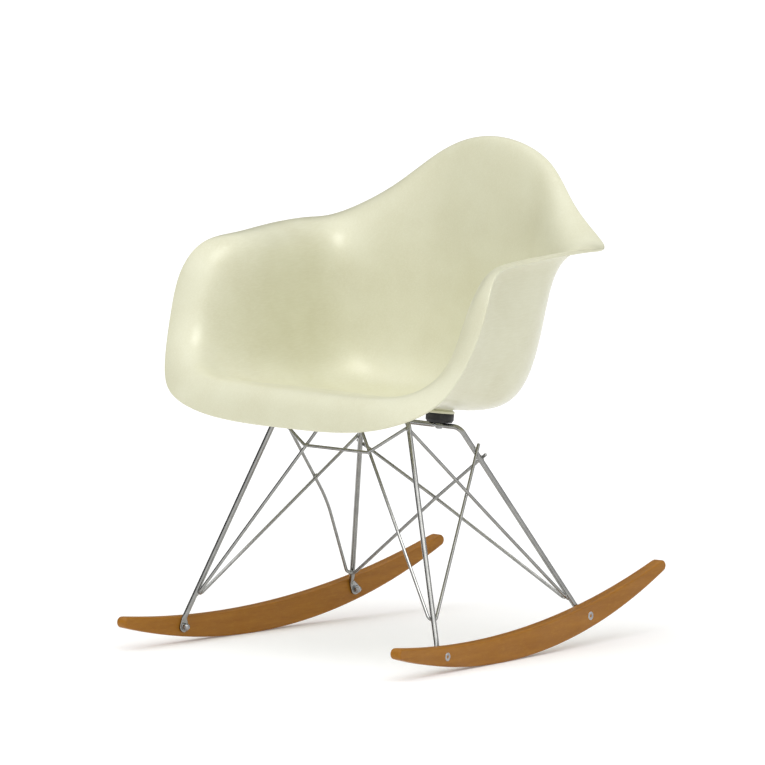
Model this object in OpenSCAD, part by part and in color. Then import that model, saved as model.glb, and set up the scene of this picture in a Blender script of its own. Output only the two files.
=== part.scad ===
// Rocking armchair: a moulded fibreglass shell on four rubber shock mounts,
// a welded base of bent chromed rod, and two curved wooden rockers.
//
// Frame: +Z up, -Y to the front, +X to the sitter's left. The origin is on the floor,
// midway between the rockers, under the line where they touch it.

/* [Shell] */
// Width over the arms, at the middle of the wall
shell_w = 604; // [500:1:730]
// Depth from the front lip to the top of the back, at the middle of the wall
shell_d = 510; // [430:1:615]
// Height from the front lip to the top of the back
shell_h = 390; // [320:1:470]
// Thickness of the moulded wall
shell_t = 4; // [3:0.1:5]
// Height of the front lip's edge above the floor
shell_z = 361; // [330:1:400]

/* [Rockers] */
// Length of a rocker from tip to tip
rocker_l = 700; // [580:1:845]
// Depth of the board at its middle
rocker_h = 41.5; // [34:0.5:50]
// Thickness of the board
rocker_t = 19; // [15:0.5:23]
// Radius of the arc that rolls on the floor
rocker_r = 1015; // [845:1:1220]
// Radius of the arc along the top edge
rocker_top_r = 1650; // [1375:1:1980]
// Half the distance between the outer faces, where they touch the floor
rocker_x = 260; // [217:1:312]
// Angle by which each rocker turns in towards the rear
toe_in = 4.3; // [0:0.1:6]
// Angle by which the rear of the rockers stands higher
rest_tilt = 4.9; // [0:0.1:8]
// Place of the front bolt along the rocker, from its middle
front_bolt_s = -226; // [-256:1:-188]
// Place of the rear bolt along the rocker, from its middle
rear_bolt_s = 148; // [123:1:178]

/* [Base rods] */
// Diameter of the leg rods
rod_d = 8; // [6.5:0.1:10]
// Diameter of the brace rods
brace_d = 5; // [4:0.1:6]
// Distance between the corners of the front bar
front_bar_w = 249; // [215:1:290]
// Distance between the corners of the rear bar
rear_bar_w = 193; // [160:1:230]
// Bend radius of the leg rods, at the rod's centre
leg_bend_r = 17; // [12:0.5:22]
// Bend radius of the braces at the foot of each V
loop_r = 8; // [6:0.5:10]
// Diameter of the flattened foot of a leg
foot_d = 17; // [14:0.5:21]
// Thickness of the flattened foot
foot_t = 4; // [3:0.1:5]

/* [Shock mounts] */
// Place of a front mount from the mid-plane
front_mount_x = 80; // [66:1:95]
// Place of the front mounts along the seat
front_mount_y = -55; // [-70:1:-45]
// Place of a rear mount from the mid-plane
rear_mount_x = 56; // [46:1:68]
// Place of the rear mounts along the seat
rear_mount_y = 99; // [80:1:115]
// Diameter of the rubber disc
rubber_d = 43; // [35:0.5:52]
// Height of the rubber disc
rubber_h = 14; // [11:0.5:17]
// Height of the bonding pad between the rubber and the shell
pad_h = 6.5; // [5.5:0.1:9]
// Diameter of the flattened, drilled eye in a bar under each mount
eye_d = 14; // [12:0.5:17]
// Diameter of the mount screws
mount_screw_d = 5; // [4:0.5:6]

/* [Fasteners] */
// Diameter of the rocker bolts
bolt_d = 6; // [5:0.5:7]
// Diameter of the rocker bolts' flush heads
bolt_head_d = 13.5; // [11:0.5:16]
// Thickness of the rocker bolts' heads
bolt_head_h = 3.2; // [2.5:0.1:4]
// Width across the flats of the nuts
nut_af = 10; // [8.5:0.5:12]
// Radial clearance of a bolt or screw in its hole
hole_gap = 0.25; // [0.1:0.05:0.5]

/* [Hidden] */
SIDES = [-1, 1];
$fn = 48;

SHELL_COLOUR = [0.86, 0.86, 0.76];
CHROME = [0.78, 0.79, 0.8];
STEEL = [0.6, 0.6, 0.62];
WOOD = [0.68, 0.46, 0.22];
RUBBER = [0.09, 0.09, 0.09];

// ---------- vectors ----------
function unit(v) = v / norm(v);
function mix(a, b, t) = a + (b - a) * t;
function flip_x(p, side) = [p.x * side, p.y, p.z];
// What is left of v after its share along the unit vector n is taken out, at length 1.
function across(v, n) = unit(v - n * (v * n));
// How far an arc of radius r has risen at the distance s from its lowest point.
function arc_rise(r, s) = r - sqrt(r * r - s * s);

// ---------- rocker ----------
nose_depth = 9;                                  // how far the round nose stands out
nose_s = rocker_l / 2 - nose_depth;              // where it starts
function rocker_low(s) = arc_rise(rocker_r, s);
function rocker_high(s) = rocker_h + arc_rise(rocker_top_r, s);
function rocker_mid(s) = (rocker_low(s) + rocker_high(s)) / 2;
nose_r = (rocker_high(nose_s) - rocker_low(nose_s)) / 2 * cos(asin(nose_s / rocker_r));

// Rocker coordinates: s along the board from its middle, h above its lowest arc point,
// w inwards from its outer face. The board is tilted, turned in and set on the floor.
function on_rocker(s, h, w, side) = let (
    y = s * cos(rest_tilt) - (h - rocker_r) * sin(rest_tilt),
    z = s * sin(rest_tilt) + (h - rocker_r) * cos(rest_tilt) + rocker_r,
    x = rocker_x - w * cos(toe_in) - y * sin(toe_in)
) [side * x, y * cos(toe_in) - w * sin(toe_in), z];

module place_on_rocker(side) {
    mirror([side < 0 ? 1 : 0, 0, 0])
        translate([rocker_x, 0, rocker_r]) rotate([0, 0, toe_in]) rotate([rest_tilt, 0, 0])
            translate([0, 0, -rocker_r]) children();
}

// A hole, shank or disc along the rocker's thickness, from depth w0 to w1 below its face.
module across_rocker(s, d, w0, w1, sides = 48) {
    translate([-w1, s, rocker_mid(s)]) rotate([0, 90, 0])
        cylinder(d = d, h = w1 - w0, $fn = sides);
}

// ---------- seat shell ----------
// Meridians run from the seat's middle out over the floor, up the wall and over the
// flange to the rim. Each station gives three points of a meridian's control polygon,
// as designed at 604 x 510 x 390: [floor corner, flange corner, rim].
STATIONS = [
    [[  0, -118, 410], [  0, -199, 414], [  0, -208, 361]],     // front lip, middle
    [[118, -116, 408], [125, -194, 416], [130, -206, 365]],
    [[170, -106, 403], [205, -176, 426], [222, -194, 385]],     // front corner
    [[190,  -85, 396], [244, -143, 455], [275, -155, 424]],
    [[196,  -62, 390], [260, -112, 505], [298, -113, 498]],     // front edge of the arm
    [[200,  -35, 385], [260,  -82, 572], [301,  -85, 560]],
    [[201,    0, 380], [244,  -34, 606], [288,  -48, 600]],     // arm, front corner
    [[200,   40, 374], [232,   20, 617], [277,   14, 609]],
    [[198,   88, 367], [232,   96, 619], [280,   98, 613]],     // arm, middle
    [[184,  134, 364], [229,  160, 621], [280,  186, 613]],
    [[156,  180, 366], [202,  202, 630], [259,  238, 617]],     // arm, rear corner
    [[115,  212, 370], [150,  242, 668], [178,  270, 662]],
    [[ 60,  230, 374], [ 92,  280, 724], [100,  299, 722]],     // shoulder
    [[  0,  236, 376], [  0,  287, 752], [  0,  302, 749]]      // top of the back
];
DESIGN_SIZE = [604, 510, 390];
DESIGN_LIP_Z = 361;         // height of the front lip's rim in STATIONS
SEAT_MIDDLE = [0, 60, 369];
SEAT_SLOPE = -0.2;          // fall of the seat floor towards the rear
FLOOR_SHARE = 0.62;         // how far out the flat of the seat floor reaches
WALL_SHARE = 0.55;          // where the wall's control point sits
MERIDIANS = 80;
WALL_STEPS = 24;
RIM_STEPS = 3;

function sized(p) = [
    p.x * shell_w / DESIGN_SIZE.x,
    p.y * shell_d / DESIGN_SIZE.y,
    shell_z + (p.z - DESIGN_LIP_Z) * shell_h / DESIGN_SIZE.z
];
function polygon_of(station) = let (
    corner = station[0], flange = station[1], rim = station[2],
    flat = mix(SEAT_MIDDLE, corner, FLOOR_SHARE),
    floor_pt = [flat.x, flat.y, SEAT_MIDDLE.z + SEAT_SLOPE * (flat.y - SEAT_MIDDLE.y)]
) [for (p = [SEAT_MIDDLE, floor_pt, corner, mix(corner, flange, WALL_SHARE), flange, rim])
    sized(p)];

last_station = len(STATIONS) - 1;
half_ring = [for (s = STATIONS) polygon_of(s)];
ring = concat(half_ring, [for (i = [last_station - 1:-1:1])
    [for (p = half_ring[i]) [-p.x, p.y, p.z]]]);
ring_n = len(ring);

// Around the shell: a closed cubic B-spline pushed out until it passes its stations.
function smooth_at(c, i) = (c[(i + ring_n - 1) % ring_n] + 4 * c[i] + c[(i + 1) % ring_n]) / 6;
function pushed(c, target, rounds) = rounds == 0 ? c :
    pushed([for (i = [0:ring_n - 1]) c[i] + target[i] - smooth_at(c, i)], target, rounds - 1);
column = [for (k = [0:5]) let (target = [for (m = ring) m[k]]) pushed(target, target, 10)];
function around(c, u) = let (
    i = floor(u), t = u - i, n = ring_n,
    a = c[(i + n - 1) % n], b = c[i % n], d = c[(i + 1) % n], e = c[(i + 2) % n]
) (a * pow(1 - t, 3) + b * (3 * pow(t, 3) - 6 * t * t + 4)
    + d * (3 * t + 3 * t * t - 3 * pow(t, 3) + 1) + e * pow(t, 3)) / 6;

// Along a meridian: a clamped cubic B-spline on six control points, in three spans.
KNOTS = [0, 0, 0, 0, 1 / 3, 2 / 3, 1, 1, 1, 1];
function share(num, den) = den == 0 ? 0 : num / den;
function basis(i, deg, v) = deg == 0
    ? ((v >= KNOTS[i] && v < KNOTS[i + 1]) || (v == 1 && i == 5) ? 1 : 0)
    : share(v - KNOTS[i], KNOTS[i + deg] - KNOTS[i]) * basis(i, deg - 1, v)
    + share(KNOTS[i + deg + 1] - v, KNOTS[i + deg + 1] - KNOTS[i + 1]) * basis(i + 1, deg - 1, v);
function weights(v) = [for (k = [0:5]) basis(k, 3, v)];
function blend6(p, w) = p[0] * w[0] + p[1] * w[1] + p[2] * w[2] + p[3] * w[3] + p[4] * w[4] + p[5] * w[5];
function meridian(u) = [for (k = [0:5]) around(column[k], u)];
function shell_at(u, v) = blend6(meridian(u), weights(v));

// The (u, v) whose point lies over the plan point xy, by Newton steps.
function find_uv(xy, uv, rounds) = rounds == 0 ? uv : let (
    e = 0.001,
    p = shell_at(uv.x, uv.y),
    du = (shell_at(uv.x + e, uv.y) - p) / e,
    dv = (shell_at(uv.x, uv.y + e) - p) / e,
    gap = xy - [p.x, p.y],
    det = du.x * dv.y - du.y * dv.x,
    step = [(gap.x * dv.y - gap.y * dv.x) / det, (gap.y * du.x - gap.x * du.y) / det]
) find_uv(xy, uv + step, rounds - 1);
function shell_normal(uv) = let (
    e = 0.001,
    p = shell_at(uv.x, uv.y),
    n = cross(shell_at(uv.x + e, uv.y) - p, shell_at(uv.x, uv.y + e) - p)
) unit(n.z > 0 ? n : -n);

// Grid of mid-surface points and normals; the middle of the seat is one shared point.
grid = [for (j = [0:MERIDIANS - 1]) let (m = meridian(j * ring_n / MERIDIANS))
    [for (k = [0:WALL_STEPS]) blend6(m, weights(k / WALL_STEPS))]];
function grid_at(j, k) = grid[(j + MERIDIANS) % MERIDIANS][k];
function grid_normal(j, k) = let (
    out = grid_at(j, min(k + 1, WALL_STEPS)) - grid_at(j, k - 1),
    side = grid_at(j + 1, k) - grid_at(j - 1, k)
) unit(cross(out, side));
middle_normal = unit([0, -SEAT_SLOPE * (shell_h / DESIGN_SIZE.z) / (shell_d / DESIGN_SIZE.y), 1]);

// One closed meridian outline: upper face outwards, round the rim, lower face back.
function outline(j) = let (
    tip = grid_at(j, WALL_STEPS),
    n = grid_normal(j, WALL_STEPS),
    out = across(tip - grid_at(j, WALL_STEPS - 1), n),
    half = shell_t / 2
) concat(
    [for (k = [1:WALL_STEPS]) grid_at(j, k) + grid_normal(j, k) * half],
    [for (i = [1:RIM_STEPS]) let (a = 180 * i / (RIM_STEPS + 1))
        tip + n * half * cos(a) + out * half * sin(a)],
    [for (k = [WALL_STEPS:-1:1]) grid_at(j, k) - grid_normal(j, k) * half]
);
OUTLINE_N = 2 * WALL_STEPS + RIM_STEPS;

module seat_shell() {
    skin = [for (j = [0:MERIDIANS - 1]) each outline(j)];
    top = len(skin);
    middle = sized(SEAT_MIDDLE);
    points = concat(skin, [middle + middle_normal * shell_t / 2, middle - middle_normal * shell_t / 2]);
    faces = concat(
        [for (j = [0:MERIDIANS - 1], i = [0:OUTLINE_N - 2]) let (
            a = j * OUTLINE_N + i, b = ((j + 1) % MERIDIANS) * OUTLINE_N + i
        ) each [[a, b + 1, b], [a, a + 1, b + 1]]],
        [for (j = [0:MERIDIANS - 1]) [j * OUTLINE_N, ((j + 1) % MERIDIANS) * OUTLINE_N, top]],
        [for (j = [0:MERIDIANS - 1])
            [((j + 1) % MERIDIANS + 1) * OUTLINE_N - 1, (j + 1) * OUTLINE_N - 1, top + 1]]
    );
    color(SHELL_COLOUR) polyhedron(points, faces);
}

// ---------- shock mounts ----------
// A mount stands square to the shell's underside and on the crown of its bar.
eye_top = rod_d / 2 + 0.3;   // the eye stands a little proud of the rod's crown
eye_low = rod_d / 2 - 1;
stack_h = eye_top + rubber_h + pad_h + shell_t / 2;
NEWTON_ROUNDS = 12;
front_uv = find_uv([front_mount_x, front_mount_y], [1, 0.3], NEWTON_ROUNDS);
rear_uv = find_uv([rear_mount_x, rear_mount_y], [9.6, 0.12], NEWTON_ROUNDS);
function lean_of(uv) = let (n = shell_normal(uv)) atan2(n.y, n.z);
front_lean = lean_of(front_uv);
rear_lean = lean_of(rear_uv);
function bar_point(uv, lean) = let (p = shell_at(uv.x, uv.y))
    [p.y - stack_h * sin(lean), p.z - stack_h * cos(lean)];
front_bar = bar_point(front_uv, front_lean);
rear_bar = bar_point(rear_uv, rear_lean);

module at_front_mount(side) {
    translate([side * front_mount_x, front_bar.x, front_bar.y]) rotate([-front_lean, 0, 0])
        children();
}
module at_rear_mount(side) {
    translate([side * rear_mount_x, rear_bar.x, rear_bar.y]) rotate([-rear_lean, 0, 0])
        children();
}
module at_all_mounts() {
    for (side = SIDES) {
        at_front_mount(side) children();
        at_rear_mount(side) children();
    }
}

insert_d = 12;
insert_flange_d = 22;
insert_flange_h = 2;
rubber_over_insert = 2.5;    // rubber left between the insert and the pad
insert_top = eye_top + rubber_h - rubber_over_insert;
screw_tip = insert_top - 3;
screw_head_d = 11;
screw_head_h = 3.2;
screw_socket = 3.5;

module rubber_disc() {
    color(RUBBER) difference() {
        translate([0, 0, eye_top]) cylinder(d = rubber_d, h = rubber_h);
        insert_shape(0);
    }
}
// A headed bush, open at its foot for the screw.
module insert_shape(bore) {
    difference() {
        union() {
            translate([0, 0, eye_top]) cylinder(d = insert_d, h = insert_top - eye_top);
            translate([0, 0, insert_top - insert_flange_h])
                cylinder(d = insert_flange_d, h = insert_flange_h);
        }
        if (bore > 0) translate([0, 0, eye_top - 1]) cylinder(d = bore, h = insert_top - eye_top - 1);
    }
}
module bonding_pad() {
    neck_h = 2.5;            // the narrower step just under the shell
    sink = 0.6;              // how far the neck is bonded into the wall's curve
    base = eye_top + rubber_h;
    color(SHELL_COLOUR) {
        translate([0, 0, base]) cylinder(d = rubber_d + 1, h = pad_h - neck_h);
        translate([0, 0, base]) cylinder(d = rubber_d - 4, h = pad_h + sink);
    }
}
module mount_insert() { color(STEEL) insert_shape(mount_screw_d); }
module mount_screw() {
    color(STEEL) difference() {
        union() {
            translate([0, 0, -eye_low]) cylinder(d = mount_screw_d, h = screw_tip + eye_low);
            translate([0, 0, -eye_low - screw_head_h]) cylinder(d = screw_head_d, h = screw_head_h);
        }
        translate([0, 0, -eye_low - screw_head_h - 1]) cylinder(d = screw_socket, h = 3, $fn = 6);
    }
}

// ---------- rods ----------
// A rod is a ring of points carried along its centre line. The centre line is straight
// between corners and follows a true arc round each corner; radius[i] is 0 at the ends.
ROD_SIDES = 16;
BEND_STEPS = 7;
function arc_path(p, q, r, radius) = let (
    u = unit(q - p), v = unit(r - q), angle = acos(u * v),
    centre = q + unit(v - u) * radius / cos(angle / 2),
    x = unit(q - u * radius * tan(angle / 2) - centre)
) [for (k = [0:BEND_STEPS]) let (a = angle * k / BEND_STEPS)
    [centre + radius * (x * cos(a) + u * sin(a)), u * cos(a) - x * sin(a)]];
function centre_line(points, radius) = let (last = len(points) - 1) concat(
    [[points[0], unit(points[1] - points[0])]],
    [for (i = [1:1:last - 1]) each arc_path(points[i - 1], points[i], points[i + 1], radius[i])],
    [[points[last], unit(points[last] - points[last - 1])]]
);
// The ring's first spoke, carried from station to station without twist.
function spokes(line, i, spoke) = i == len(line) ? [] :
    let (s = across(spoke, line[i][1])) concat([s], spokes(line, i + 1, s));
module bent_rod(points, radius, d) {
    line = centre_line(points, radius);
    n = len(line);
    r = d / 2 / sqrt(cos(180 / ROD_SIDES));
    spoke = spokes(line, 0, [0.3, 1, 0.2]);
    ring_points = [for (i = [0:n - 1]) let (e = spoke[i], f = cross(line[i][1], e))
        for (k = [0:ROD_SIDES - 1]) let (a = 360 * k / ROD_SIDES)
            line[i][0] + r * (e * cos(a) + f * sin(a))];
    faces = concat(
        [for (i = [0:n - 2], k = [0:ROD_SIDES - 1]) let (
            a = i * ROD_SIDES + k, b = i * ROD_SIDES + (k + 1) % ROD_SIDES
        ) each [[a, a + ROD_SIDES, b + ROD_SIDES], [a, b + ROD_SIDES, b]]],
        [[for (k = [0:ROD_SIDES - 1]) k]],
        [[for (k = [ROD_SIDES - 1:-1:0]) (n - 1) * ROD_SIDES + k]]
    );
    polyhedron(ring_points, faces);
}

// ---------- legs ----------
foot_neck = 20;             // bolt centre to the end of the round rod
neck_w = rod_d * 0.8;
foot_lift = 0.5;            // the round rod ends this far clear of the rocker's face
function rod_end(s, lean_s) = on_rocker(s + foot_neck * sin(lean_s),
    rocker_mid(s) + foot_neck * cos(lean_s), rocker_t + rod_d / 2 + foot_lift, 1);
front_foot_lean = 10;
rear_foot_lean = -29;
front_end = rod_end(front_bolt_s, front_foot_lean);
rear_end = rod_end(rear_bolt_s, rear_foot_lean);
front_corner = [front_bar_w / 2, front_bar.x, front_bar.y];
rear_corner = [rear_bar_w / 2, rear_bar.x, rear_bar.y];

function leg_path(corner, end) = [end, corner, flip_x(corner, -1), flip_x(end, -1)];
module foot(s, lean_s) {
    taper_end = foot_neck - 6;
    root_end = foot_neck + 2;       // inside the rod
    place_on_rocker(1) translate([-rocker_t - foot_t, s, rocker_mid(s)])
        rotate([-lean_s, 0, 0]) rotate([0, 90, 0]) rotate([0, 0, 180])
            difference() {
                union() {
                    cylinder(d = foot_d, h = foot_t);
                    linear_extrude(foot_t) polygon([
                        [0, -foot_d / 2], [taper_end, -neck_w / 2], [root_end, -neck_w / 2],
                        [root_end, neck_w / 2], [taper_end, neck_w / 2], [0, foot_d / 2]]);
                }
                translate([0, 0, -1]) cylinder(d = bolt_d + 2 * hole_gap, h = foot_t + 2);
            }
}
module leg_frame(corner, end, s, lean_s) {
    path = leg_path(corner, end);
    bent_rod(path, [0, leg_bend_r, leg_bend_r, 0], rod_d);
    for (side = SIDES) mirror([side < 0 ? 1 : 0, 0, 0]) foot(s, lean_s);
}
module eye_pad() { translate([0, 0, -eye_low]) cylinder(d = eye_d, h = eye_low + eye_top); }
// The screw's hole, and a flat under the bar as wide as the screw's head.
module eye_hole() {
    translate([0, 0, -rod_d]) cylinder(d = mount_screw_d + 2 * hole_gap, h = 2 * rod_d);
    translate([0, 0, -rod_d]) cylinder(d = screw_head_d + 1, h = rod_d - eye_low);
}
module front_leg_rod() {
    color(CHROME) difference() {
        union() {
            leg_frame(front_corner, front_end, front_bolt_s, front_foot_lean);
            for (side = SIDES) at_front_mount(side) eye_pad();
        }
        for (side = SIDES) at_front_mount(side) eye_hole();
    }
}
module rear_leg_rod() {
    color(CHROME) difference() {
        union() {
            leg_frame(rear_corner, rear_end, rear_bolt_s, rear_foot_lean);
            for (side = SIDES) at_rear_mount(side) eye_pad();
        }
        for (side = SIDES) at_rear_mount(side) eye_hole();
    }
}

// ---------- braces ----------
weld_sink = 0.25;                                   // how far welded rods melt together
leg_gap = (rod_d + brace_d) / 2 - weld_sink;        // between the centres of a leg and a brace
brace_gap = brace_d - weld_sink;                    // between the centres of two braces
tail = 10;                                          // brace left over beyond a weld

front_dir = unit(front_end - front_corner);
rear_dir = unit(rear_end - rear_corner);
// A point beside the left leg: share t of the way down it, moved off it towards `towards`.
function by_front(t, towards) = mix(front_corner, front_end, t) + across(towards, front_dir) * leg_gap;
function by_rear(t, towards) = mix(rear_corner, rear_end, t) + across(towards, rear_dir) * leg_gap;
function beyond_by(from, to, more) = to + unit(to - from) * more;
// The corner of a V whose rounded foot touches the point foot, with arms towards a and b.
function v_corner(foot, a, b) = let (
    bisector = unit(unit(a - foot) + unit(b - foot)),
    half_turn = (180 - acos(unit(a - foot) * unit(b - foot))) / 2
) foot - bisector * loop_r * (1 / cos(half_turn) - 1);

// Front V: its foot on the outer side of the front leg, one arm back to the rear leg,
// the other up to the underside of the front bar.
front_v_foot_t = 0.897;
front_v_tail_t = 0.13;
front_v_foot = by_front(front_v_foot_t, [-0.9, 0.7, 0]);
front_v_tail = by_rear(front_v_tail_t, [1, 0.2, 0]);
front_v_top_x = 28;
front_v_top = [front_v_top_x, front_bar.x - leg_gap * sin(45), front_bar.y - leg_gap * cos(45)];
front_v = [beyond_by(front_v_foot, front_v_tail, tail), v_corner(front_v_foot, front_v_tail, front_v_top),
    front_v_top];

// Rear V: its foot on the outer side of the rear leg, one arm forward to the front leg,
// bent just past where it crosses outside the front V's arm, the other across to the
// opposite rear leg.
rear_v_foot_t = 0.95;
rear_v_head_t = 0.035;
rear_v_far_t = 0.18;
rear_v_foot = by_rear(rear_v_foot_t, [-0.4, -1, 0]);
rear_v_head = by_front(rear_v_head_t, [-1, 1, 0]);
function turn(a, b) = a.y * b.z - a.z * b.y;        // of two directions, seen from the side
front_arm = front_v_tail - front_v_foot;
rear_arm = rear_v_foot - rear_v_head;
side_cross_t = turn(rear_v_head - front_v_foot, rear_arm) / turn(front_arm, rear_arm);
side_normal = unit(cross(rear_arm, front_arm));
cross_shift = 3;            // how far up the front arm the two really cross
kink_past = 62;             // from that crossing to the bend
arm_cross = front_v_foot + front_arm * side_cross_t + unit(front_arm) * cross_shift
    + side_normal * brace_gap * sign(side_normal.x);
rear_v_kink = beyond_by(rear_v_head, arm_cross, kink_past);
rear_v_far = flip_x(by_rear(rear_v_far_t, [0.2, 1, 0]), -1);
// Where the two rear braces cross, on the mid-plane, each passes on its own side.
rear_cross_t = rear_v_foot.x / (rear_v_foot.x - rear_v_far.x);
rear_cross = mix(rear_v_foot, rear_v_far, rear_cross_t);
rear_cross_dir = unit(rear_v_far - rear_v_foot);
rear_cross_normal = unit(cross(rear_cross_dir, flip_x(rear_cross_dir, -1)));
function rear_v(side) = [
    rear_v_head, rear_v_kink, v_corner(rear_v_foot, rear_v_kink, rear_v_far),
    rear_cross + flip_x(rear_cross_normal, side) * side * brace_gap / 2,
    beyond_by(rear_v_foot, rear_v_far, tail)];

// Upper brace: from the front of one leg down to the front V, level across, and back up.
upper_drop = 54;            // the level run below the front bar
upper_head_t = 0.04;
upper_z = front_bar.y - upper_drop;
upper_t = (front_v_top.z - upper_z) / (front_v_top.z - front_v_foot.z);
front_v_dir = unit(front_v_foot - front_v_top);
upper_knee = mix(front_v_top, front_v_foot, upper_t) + across([0, -1, 0], front_v_dir) * brace_gap;
upper_head = by_front(upper_head_t, [0, -1, 0]);
upper_path = [upper_head, upper_knee, flip_x(upper_knee, -1), flip_x(upper_head, -1)];

upper_bend_r = 10;
kink_r = 480;               // of the slight bends that lead one brace past another
cross_r = 200;

module front_upper_brace() {
    color(CHROME) bent_rod(upper_path, [0, upper_bend_r, upper_bend_r, 0], brace_d);
}
module front_brace(side) {
    color(CHROME) bent_rod([for (p = front_v) flip_x(p, side)], [0, loop_r, 0], brace_d);
}
module rear_brace(side) {
    color(CHROME) bent_rod([for (p = rear_v(side)) flip_x(p, side)],
        [0, kink_r, loop_r, cross_r, 0], brace_d);
}

// ---------- rockers ----------
ARC_STEPS = 36;
NOSE_STEPS = 10;
function arc_points(f, from, to, n) = [for (i = [0:n]) let (s = mix(from, to, i / n)) [s, f(s)]];
module rocker_outline() {
    nose = [nose_s, rocker_mid(nose_s)];
    low = -90 + asin(nose_s / rocker_r);
    high = 90 + asin(nose_s / rocker_top_r);
    arc_end = nose_s - 4;       // the long arcs stop short, and one facet leads into the nose
    nose_arc = [for (i = [0:NOSE_STEPS]) let (a = mix(low, high, i / NOSE_STEPS))
        nose + nose_r * [cos(a), sin(a)]];
    flipped = [for (i = [NOSE_STEPS:-1:0]) [-nose_arc[i].x, nose_arc[i].y]];
    polygon(concat(
        arc_points(function (s) rocker_low(s), -arc_end, arc_end, ARC_STEPS),
        nose_arc,
        arc_points(function (s) rocker_high(s), arc_end, -arc_end, ARC_STEPS),
        flipped
    ));
}
module rocker(side) {
    hole = bolt_d + 2 * hole_gap;
    sink = bolt_head_d + 2 * hole_gap;
    color(WOOD) place_on_rocker(side) difference() {
        rotate([90, 0, 90]) translate([0, 0, -rocker_t]) linear_extrude(rocker_t) rocker_outline();
        for (s = [front_bolt_s, rear_bolt_s]) {
            across_rocker(s, hole, -1, rocker_t + 1);
            across_rocker(s, sink, -1, bolt_head_h);
        }
    }
}
module at_bolts() {
    for (side = SIDES, s = [front_bolt_s, rear_bolt_s]) place_on_rocker(side)
        translate([0, s, rocker_mid(s)]) rotate([0, -90, 0]) children();
}

// ---------- rocker fasteners, drawn along +Z from the outer face inwards ----------
washer_h = 1;
nut_h = 5;
nut_low = rocker_t + foot_t + washer_h;
bolt_tip = nut_low + nut_h + 1;
head_sink = 0.2;            // the heads lie a hair below the wood
bolt_socket = 4.6;
bolt_socket_h = 2.2;
module rocker_bolts() {
    color(STEEL) at_bolts() difference() {
        union() {
            translate([0, 0, head_sink]) cylinder(d = bolt_head_d, h = bolt_head_h - head_sink);
            translate([0, 0, head_sink]) cylinder(d = bolt_d, h = bolt_tip - head_sink);
        }
        translate([0, 0, -1]) cylinder(d = bolt_socket, h = bolt_socket_h + 1, $fn = 6);
    }
}
module rocker_washers() {
    color(STEEL) at_bolts() translate([0, 0, rocker_t + foot_t]) difference() {
        cylinder(d = bolt_d * 2, h = washer_h);
        translate([0, 0, -1]) cylinder(d = bolt_d + 2 * hole_gap, h = washer_h + 2);
    }
}
module rocker_nuts() {
    dome_d = nut_af * 0.94;
    dome_sink = dome_d * 0.12;      // the dome's centre below the hexagon's top
    color(STEEL) at_bolts() translate([0, 0, nut_low]) difference() {
        union() {
            cylinder(d = nut_af / cos(30), h = nut_h, $fn = 6);
            translate([0, 0, nut_h - dome_sink]) sphere(d = dome_d);
        }
        translate([0, 0, -1]) cylinder(d = bolt_d, h = bolt_tip - nut_low + 1);
        translate([0, 0, -dome_d]) cylinder(d = nut_af * 2, h = dome_d);
    }
}

seat_shell();
at_front_mount(1) bonding_pad();  // front_left_pad
at_front_mount(-1) bonding_pad();  // front_right_pad
at_rear_mount(1) bonding_pad();  // rear_left_pad
at_rear_mount(-1) bonding_pad();  // rear_right_pad
at_front_mount(1) rubber_disc();  // front_left_shock_mount
at_front_mount(-1) rubber_disc();  // front_right_shock_mount
at_rear_mount(1) rubber_disc();  // rear_left_shock_mount
at_rear_mount(-1) rubber_disc();  // rear_right_shock_mount
at_all_mounts() mount_insert();  // mount_inserts
at_all_mounts() mount_screw();  // mount_screws
front_leg_rod();
rear_leg_rod();
front_upper_brace();
front_brace(1);  // left_front_brace
front_brace(-1);  // right_front_brace
rear_brace(1);  // left_rear_brace
rear_brace(-1);  // right_rear_brace
rocker(1);  // left_rocker
rocker(-1);  // right_rocker
rocker_bolts();
rocker_washers();
rocker_nuts();
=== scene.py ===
# %% [markdown]
# # A rocking armchair
#
# The real chair is a glass-fibre shell, moulded in one piece, on a welded base of chromed
# rod and two maple rockers. Four rubber discs join the shell to the base, so that it gives
# a little when someone leans back. Each piece below is a surface worked out from a formula,
# because a formula keeps its size, its symmetry and its fit with its neighbours. The packed
# model is loaded first, and every new piece rides on one of its bodies.

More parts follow.
